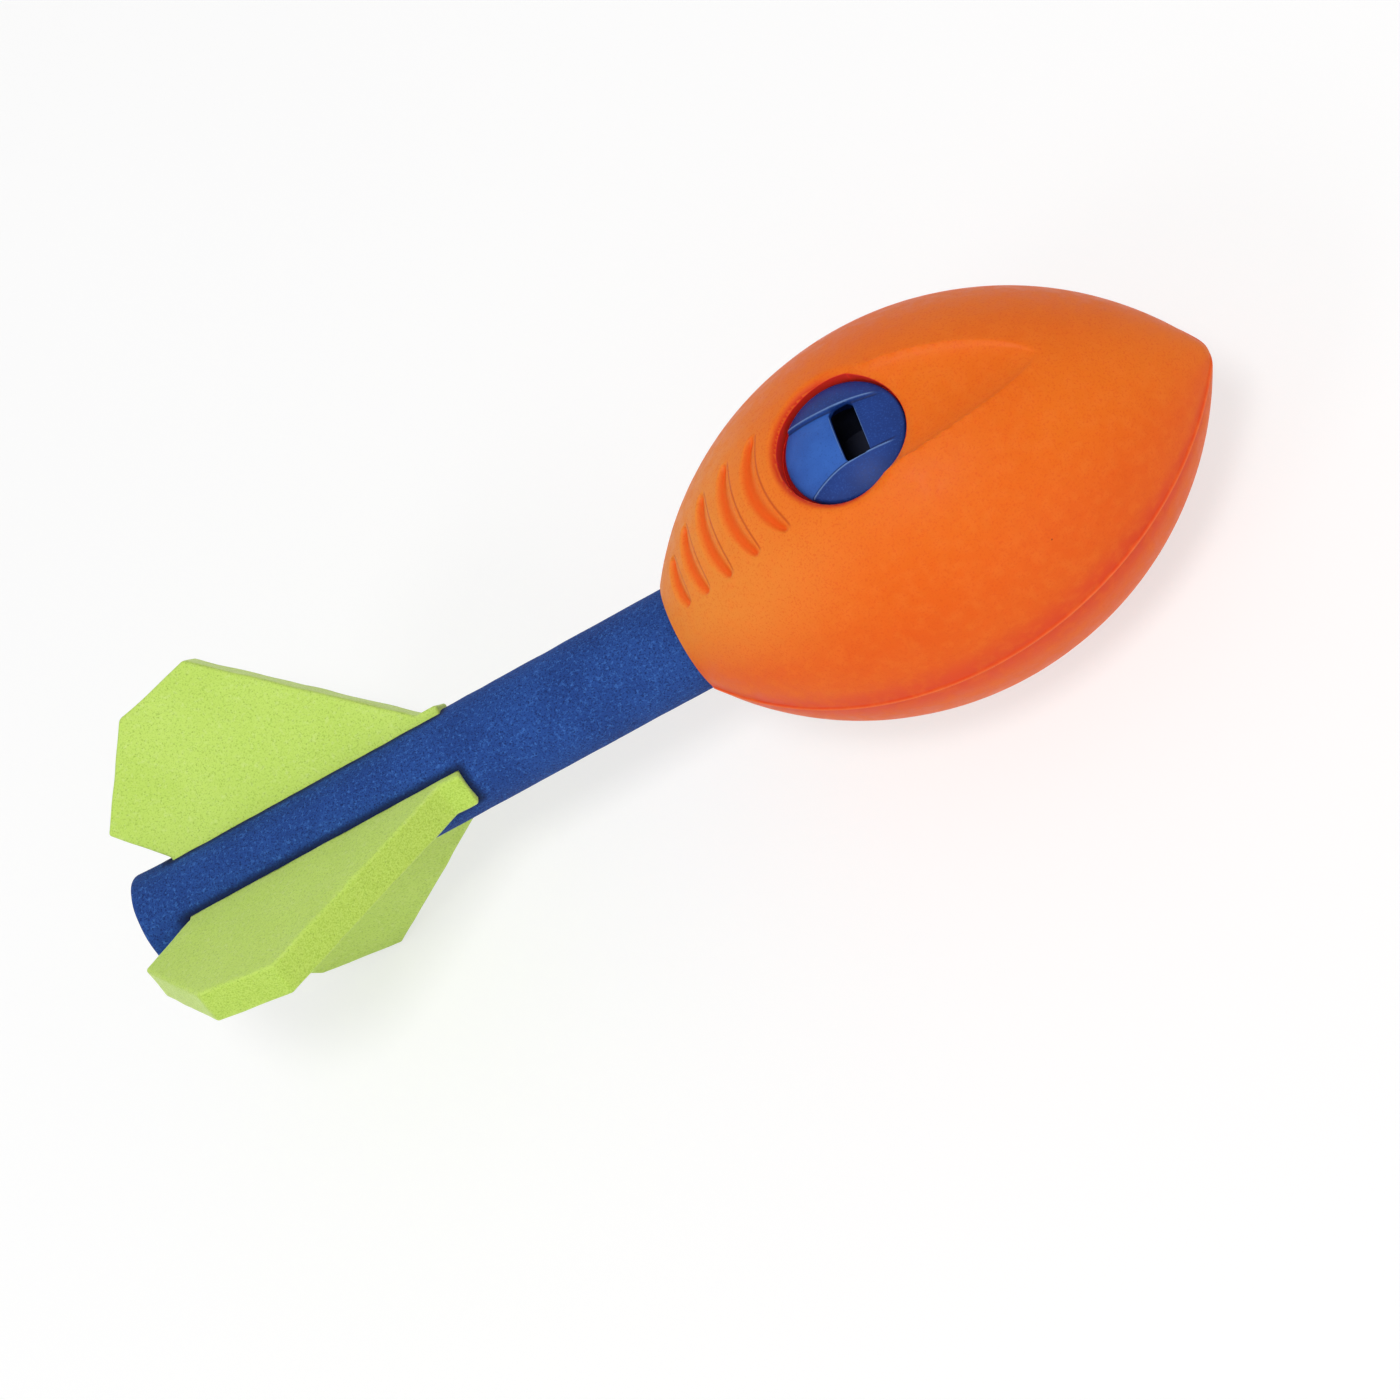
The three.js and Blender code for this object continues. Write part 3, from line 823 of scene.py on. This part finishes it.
TAIL_RADIUS = 0.010
TAIL_LENGTH = 0.153
TAIL_FLARE = 0.0003
TAIL_FLARE_LENGTH = 0.009
TAIL_EDGE = 0.0008
TAIL_CUTS = 120
TAIL_WAVES = 260
TAIL_WAVE_SIZE = 0.00008
TAIL_SEED = 3.1
CORE_BORE = 0.0038
CORE_BORE_START = 0.0137
CORE_BORE_END = 0.1600
FIN_TURNS = {"lower": 180, "left": 300, "right": 60}
FIN_SLIT = 0.0071
FIN_SLIT_START = 0.00915
FIN_SLIT_END = 0.06755
FIN_SLIT_MIDDLE = 0.0113
FIN_SLIT_HEIGHT = 0.0088
ROOT_SHADE_WIDTH = 0.0021


def unevenness(points, normals, scale, size, seed):
    """Pushes points in and out a little, as foam is never quite flat."""
    moved = points.copy()
    for index, (point, normal) in enumerate(zip(points, normals)):
        push = noise.noise(Vector(point) * scale + Vector((seed, seed * 1.7, 0)))
        moved[index] += normal * push * size
    return moved


def normals_of(piece):
    """The point normals of a piece as an array."""
    return np.array([vertex.normal[:] for vertex in piece.data.vertices])


def tail_rod():
    """The rod before its slits: many short rings, an eased end and a slight flare."""
    tail = cylinder(TAIL_RADIUS, 0, TAIL_LENGTH, (0, 0), "X", 144)
    tail.name = "foam_tail"
    tail.data.name = "foam_tail"
    edit(tail, "EDGE")
    pick_edges(tail, lambda a, b: abs(a.x - b.x) > 0.01)
    bpy.ops.mesh.subdivide(number_cuts=TAIL_CUTS)
    bpy.ops.mesh.select_all(action="DESELECT")
    pick_edges(tail, lambda a, b: max(a.x, b.x) < 1e-6)
    bpy.ops.mesh.bevel(offset=TAIL_EDGE, segments=5)
    bpy.ops.object.mode_set(mode="OBJECT")
    points = points_of(tail)
    flare = TAIL_FLARE / TAIL_RADIUS * np.clip(1 - points[:, 0] / TAIL_FLARE_LENGTH, 0, 1)
    points[:, 1:] *= (1 + flare)[:, None]
    put_points(tail, points)
    points, normals = points_of(tail), normals_of(tail)
    put_points(tail, unevenness(points, normals, TAIL_WAVES, TAIL_WAVE_SIZE, TAIL_SEED))
    return tail


tail = tail_rod()
carve(tail, cylinder(CORE_BORE, CORE_BORE_START, CORE_BORE_END, (0, 0), "X", 64))
for side, turn in FIN_TURNS.items():
    bpy.ops.mesh.primitive_cube_add(
        size=1,
        location=((FIN_SLIT_START + FIN_SLIT_END) / 2, 0, FIN_SLIT_MIDDLE),
        scale=(FIN_SLIT_END - FIN_SLIT_START, FIN_SLIT, FIN_SLIT_HEIGHT),
    )
    slit = name_piece("cutter")
    slit.data.transform(Matrix.Rotation(math.radians(turn), 4, "X"))
    carve(tail, slit)
close_up(tail)
shade(tail, 38)


TAIL_BLUES = ((40, 80, 156), (34, 70, 142))
CELL_LIGHT = (66, 116, 196)
CELL_DARK = (16, 38, 96)
PORE_DARK = (12, 28, 78)
ROOT_SHADE_DARK = (8, 16, 44)


def tail_foam():
    """Blue closed-cell foam: a strong fine grain of cut cells, and painted shade beside the fin
    roots.
    """
    material, shader, place = new_material("blue_tail_foam")
    links = material.node_tree.links
    cloud = grain(material, place, 90, 3)
    coarse = grain(material, place, 1300, 4, 0.7)
    fine = grain(material, place, 3400, 3, 0.7)
    pores = cells(material, place, 1500)
    colour = tint(material, span(material, cloud, 0.3, 0.7), *TAIL_BLUES)
    colour = tint(material, span(material, coarse, 0.5, 0.68, 0, 0.8), colour, CELL_LIGHT)
    colour = tint(material, span(material, fine, 0.34, 0.52, 0.9, 0), colour, CELL_DARK)
    colour = tint(material, span(material, pores, 0.1, 0.34, 0.6, 0), colour, PORE_DARK)
    # painted shade: near-black bands beside the fin roots, where the fins shade the rod
    root_shade = span(material, kept(material, "root_shade_share"), 0, 1, 0, 0.85)
    colour = tint(material, root_shade, colour, ROOT_SHADE_DARK)
    links.new(colour, shader.inputs["Base Color"])
    links.new(span(material, coarse, 0.3, 0.7, 0.78, 0.95), shader.inputs["Roughness"])
    shader.inputs["Specular IOR Level"].default_value = 0.2
    under = relief(material, shader, coarse, 0.0003, 0.7)
    relief(material, shader, pores, 0.00015, 0.6, under)
    return material


def root_shade_share(points):
    """How much painted shade darkens the foam beside the fin roots, for each point."""
    turn_of = np.arctan2(points[:, 1], points[:, 2])
    root_shaded = np.zeros(len(points))
    for turn in FIN_TURNS.values():
        off = np.angle(np.exp(1j * (turn_of + math.radians(turn))))
        beside = TAIL_RADIUS * np.abs(np.sin(off)) - FIN_SLIT / 2
        near = 1 - ease(0, ROOT_SHADE_WIDTH, beside)
        root_shaded = np.maximum(root_shaded, near * (np.cos(off) > 0))
    root_shaded *= 1 - ease(FIN_SLIT_END, FIN_SLIT_END + ROOT_SHADE_WIDTH, points[:, 0])
    root_shaded *= ease(FIN_SLIT_START - 2 * ROOT_SHADE_WIDTH, FIN_SLIT_START, points[:, 0])
    return root_shaded


keep_value(tail, "root_shade_share", root_shade_share(points_of(tail)))
dress(tail, tail_foam())
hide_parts("tail_sleeve")
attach(tail, "root")


# The three fins are cut from 7 mm sheet of yellow-green foam. Their roots are glued into the
# tail's slits, a third of a turn apart, and their front ends are trimmed square.

FIN_THICKNESS = 0.007
FIN_EDGE = 0.0006
FIN_SLICE = 0.0012
FIN_WAVES = 170
FIN_WAVE_SIZE = 0.00022
FIN_SEED = 5.3
FIN_SEED_STEP = 9
FIN_OUTLINE = [  # along the tail and out from its middle
    (0.0092, 0.0070),
    (0.0675, 0.0070),
    (0.0675, 0.0111),
    (0.0631, 0.0111),
    (0.0288, 0.0406),
    (0.0127, 0.0368),
    (0.0002, 0.0190),
    (0.0092, 0.0100),
]


def slice_fine(places, direction):
    """Cuts the mesh in edit mode at those places, taking nothing away."""
    for place in places:
        bpy.ops.mesh.select_all(action="SELECT")
        bpy.ops.mesh.bisect(plane_co=[place * way for way in direction], plane_no=direction)


def fin_sheet():
    """One fin standing up from the tail, cut out, eased at its edges and sliced fine."""
    bpy.ops.mesh.primitive_circle_add(vertices=len(FIN_OUTLINE), radius=0.02, fill_type="NGON")
    fin = name_piece("fin_sheet")
    for vertex, (along, out) in zip(fin.data.vertices, FIN_OUTLINE):
        vertex.co = (along, FIN_THICKNESS / 2, out)
    edit(fin)
    bpy.ops.mesh.select_all(action="SELECT")
    bpy.ops.mesh.extrude_region_move(TRANSFORM_OT_translate={"value": (0, -FIN_THICKNESS, 0)})
    bpy.ops.object.mode_set(mode="OBJECT")
    close_up(fin)
    edit(fin, "EDGE")
    bpy.ops.mesh.select_all(action="SELECT")
    bpy.ops.mesh.bevel(offset=FIN_EDGE, segments=4)
    slice_fine([step * FIN_SLICE for step in range(1, 56)], (1, 0, 0))
    slice_fine([step * FIN_SLICE for step in range(6, 34)], (0, 0, 1))
    slice_fine((-0.002, 0, 0.002), (0, 1, 0))
    bpy.ops.object.mode_set(mode="OBJECT")
    close_up(fin)
    return fin


def mark_cut_edges(fin):
    """Keeps, for the material, how far each point is down the cut edge from the sheet's skin."""
    depth = FIN_THICKNESS / 2 - np.abs(points_of(fin)[:, 1])
    keep_value(fin, "cut_edge", ease(0.0001, 0.0006, depth))


FACE_GREENS = ((201, 230, 108), (196, 226, 100))
CUT_GREENS = ((180, 213, 78), (198, 226, 104))
FACE_PALE = (216, 236, 152)
CELL_GREEN = (148, 188, 58)
PORE_GREEN = (134, 172, 48)
SHEEN_PALE = (240, 250, 210)


def fin_foam():
    """Yellow-green foam sheet: fine cells, lighter skins, and greener, rougher cut edges."""
    material, shader, place = new_material("green_fin_foam")
    links = material.node_tree.links
    cloud = grain(material, place, 70, 3)
    coarse = grain(material, place, 1100, 4, 0.65)
    fine = grain(material, place, 3300, 3, 0.7)
    pores = cells(material, place, 1300)
    face = tint(material, span(material, cloud, 0.3, 0.7), *FACE_GREENS)
    face = tint(material, span(material, coarse, 0.5, 0.72, 0, 0.5), face, FACE_PALE)
    cut = tint(material, span(material, fine, 0.35, 0.68), *CUT_GREENS)
    colour = tint(material, kept(material, "cut_edge"), face, cut)
    colour = tint(material, span(material, fine, 0.34, 0.5, 0.55, 0), colour, CELL_GREEN)
    colour = tint(material, span(material, pores, 0.08, 0.28, 0.5, 0), colour, PORE_GREEN)
    links.new(colour, shader.inputs["Base Color"])
    links.new(span(material, coarse, 0.3, 0.7, 0.75, 0.92), shader.inputs["Roughness"])
    shader.inputs["Subsurface Weight"].default_value = 0.15
    shader.inputs["Subsurface Radius"].default_value = (0.8, 1.0, 0.3)
    shader.inputs["Subsurface Scale"].default_value = 0.0015
    shader.inputs["Sheen Weight"].default_value = 0.5
    shader.inputs["Sheen Roughness"].default_value = 0.4
    shader.inputs["Sheen Tint"].default_value = srgb(*SHEEN_PALE)
    under = relief(material, shader, coarse, 0.00025, 0.6)
    relief(material, shader, pores, 0.00012, 0.5, under)
    return material


fin_first = fin_sheet()
mark_cut_edges(fin_first)
dress(fin_first, fin_foam())
for turned, (side, turn) in enumerate(FIN_TURNS.items()):
    fin = fin_first.copy()
    fin.data = fin_first.data.copy()
    fin.name = f"cut_fin_{side}"
    fin.data.name = f"cut_fin_{side}"
    bpy.context.scene.collection.objects.link(fin)
    points, normals = points_of(fin), normals_of(fin)
    seed = FIN_SEED + turned * FIN_SEED_STEP
    put_points(fin, unevenness(points, normals, FIN_WAVES, FIN_WAVE_SIZE, seed))
    fin.data.transform(Matrix.Rotation(math.radians(turn), 4, "X"))
    shade(fin, 40)
    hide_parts(f"fin_{side}")
    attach(fin, "root")
bpy.data.objects.remove(fin_first)


# A thin white plastic tube runs inside the tail and keeps it from folding. The disc on its front
# end is moulded into the ball and holds the tail in. Neither shows once the toy is together.

CORE_WHITES = ((222, 221, 214), (210, 209, 200))


def inner_plastic():
    """Natural white plastic with faint clouding."""
    material, shader, place = new_material("white_inner_plastic")
    links = material.node_tree.links
    cloud = grain(material, place, 120, 3)
    fine = grain(material, place, 2600, 2)
    colour = tint(material, span(material, cloud, 0.3, 0.7), *CORE_WHITES)
    links.new(colour, shader.inputs["Base Color"])
    links.new(span(material, fine, 0.3, 0.7, 0.4, 0.52), shader.inputs["Roughness"])
    relief(material, shader, fine, 0.00002, 0.5)
    return material


white_plastic = inner_plastic()
for node in ("tail_core", "core_anchor"):
    dress(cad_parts[node], white_plastic)


# The toy rests on a plain pale table, on the ball and the lower fin. The main lamp hangs above it,
# a little to the camera's side, so that the scoop and the grooves show. Two weaker, softer ones
# stand beside the tail and the nose, and the room is pale.

TABLE_SIZE = 40
TABLE_TOP = -0.0353
TABLE_SLOPE = math.atan2(0.0056, 0.1355)  # how much lower the fin ends, and how far behind
TABLE_WHITES = ((248, 248, 248), (245, 245, 245))
TABLE_GLOW = 1.12
TABLE_GLOW_SHARE = 0.56
ROOM_LEVEL = 0.5
WHITE = (1, 1, 1, 1)
LAMP_TARGET = (0.112, 0, 0)
LAMPS = [  # name, direction, distance, size and power
    ("key_lamp", (0.08, -0.33, 0.94), 1.4, 0.3, 6.9),
    ("tail_lamp", (-0.60, -0.45, 0.66), 1.6, 0.5, 2.6),
    ("side_lamp", (0.45, -0.85, 0.20), 1.8, 0.8, 3.0),
]


def plain_sight(owner):
    """1 where the camera, a gloss or a see-through surface looks at it, and 0 for its light."""
    rays = owner.node_tree.nodes.new("ShaderNodeLightPath").outputs
    seen = math_node(owner, "MAXIMUM", rays["Is Camera Ray"], rays["Is Glossy Ray"])
    return math_node(owner, "MAXIMUM", seen, rays["Is Transmission Ray"])


def pale_table():
    """Matt off-white table that looks near white and keeps the shadow."""
    material, shader, place = new_material("pale_table")
    links = material.node_tree.links
    cloud = grain(material, place, 3, 2)
    colour = tint(material, span(material, cloud, 0.3, 0.7), *TABLE_WHITES)
    links.new(colour, shader.inputs["Base Color"])
    shader.inputs["Roughness"].default_value = 0.9
    shader.inputs["Specular IOR Level"].default_value = 0.1
    white = material.node_tree.nodes.new("ShaderNodeEmission")
    white.inputs["Color"].default_value = WHITE
    white.inputs["Strength"].default_value = TABLE_GLOW
    lift = material.node_tree.nodes.new("ShaderNodeMixShader")
    share = math_node(material, "MULTIPLY", plain_sight(material), TABLE_GLOW_SHARE)
    links.new(share, lift.inputs["Fac"])
    links.new(shader.outputs["BSDF"], lift.inputs[1])
    links.new(white.outputs["Emission"], lift.inputs[2])
    out = next(node for node in material.node_tree.nodes if node.type == "OUTPUT_MATERIAL")
    links.new(lift.outputs["Shader"], out.inputs["Surface"])
    return material


bpy.ops.mesh.primitive_plane_add(size=TABLE_SIZE, location=(BALL_MIDDLE, 0, TABLE_TOP))
table = bpy.context.object
table.name = "table"
table.rotation_euler = (0, -TABLE_SLOPE, 0)
table.data.materials.append(pale_table())
table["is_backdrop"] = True


def soft_lamp(name, toward, distance, size, power):
    """A square lamp that looks at the toy from that direction."""
    bpy.ops.object.light_add(type="AREA")
    lamp = bpy.context.object
    lamp.name = name
    lamp.data.size = size
    lamp.data.energy = power
    away = Vector(toward).normalized()
    lamp.rotation_mode = "QUATERNION"
    lamp.location = Vector(LAMP_TARGET) + away * distance
    lamp.rotation_quaternion = (-away).to_track_quat("-Z", "Y")


for lamp in LAMPS:
    soft_lamp(*lamp)

world = bpy.data.worlds.new("pale_room")
bpy.context.scene.world = world
world.use_nodes = True
room = world.node_tree.nodes
room.clear()
sky = room.new("ShaderNodeBackground")
sky.inputs["Color"].default_value = WHITE
level = span(world, plain_sight(world), 0, 1, ROOM_LEVEL, 1)
end = room.new("ShaderNodeOutputWorld")
world.node_tree.links.new(level, sky.inputs["Strength"])
world.node_tree.links.new(sky.outputs["Background"], end.inputs["Surface"])


# The camera stands above the toy's right side, towards the nose, and is rolled, so that the toy
# lies aslant in the picture with its nose at the upper right, as the photograph was taken.

CAMERA_PLACE = (0.30046, -0.42375, 0.65770)
CAMERA_TARGET = (0.1121, -0.0128, 0)
CAMERA_ROLL = -49.2
CAMERA_SENSOR = 36
CAMERA_LENS = 115.7

bpy.ops.object.camera_add()
camera = bpy.context.object
camera.rotation_mode = "QUATERNION"
camera.location = Vector(CAMERA_PLACE)
looking = (Vector(CAMERA_TARGET) - camera.location).to_track_quat("-Z", "Y")
camera.rotation_quaternion = looking @ Quaternion((0, 0, 1), math.radians(CAMERA_ROLL))
camera.data.sensor_width = CAMERA_SENSOR
camera.data.lens = CAMERA_LENS
camera.data.clip_start = 0.01
bpy.context.scene.camera = camera
bpy.context.scene.view_settings.view_transform = "Standard"

low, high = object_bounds()
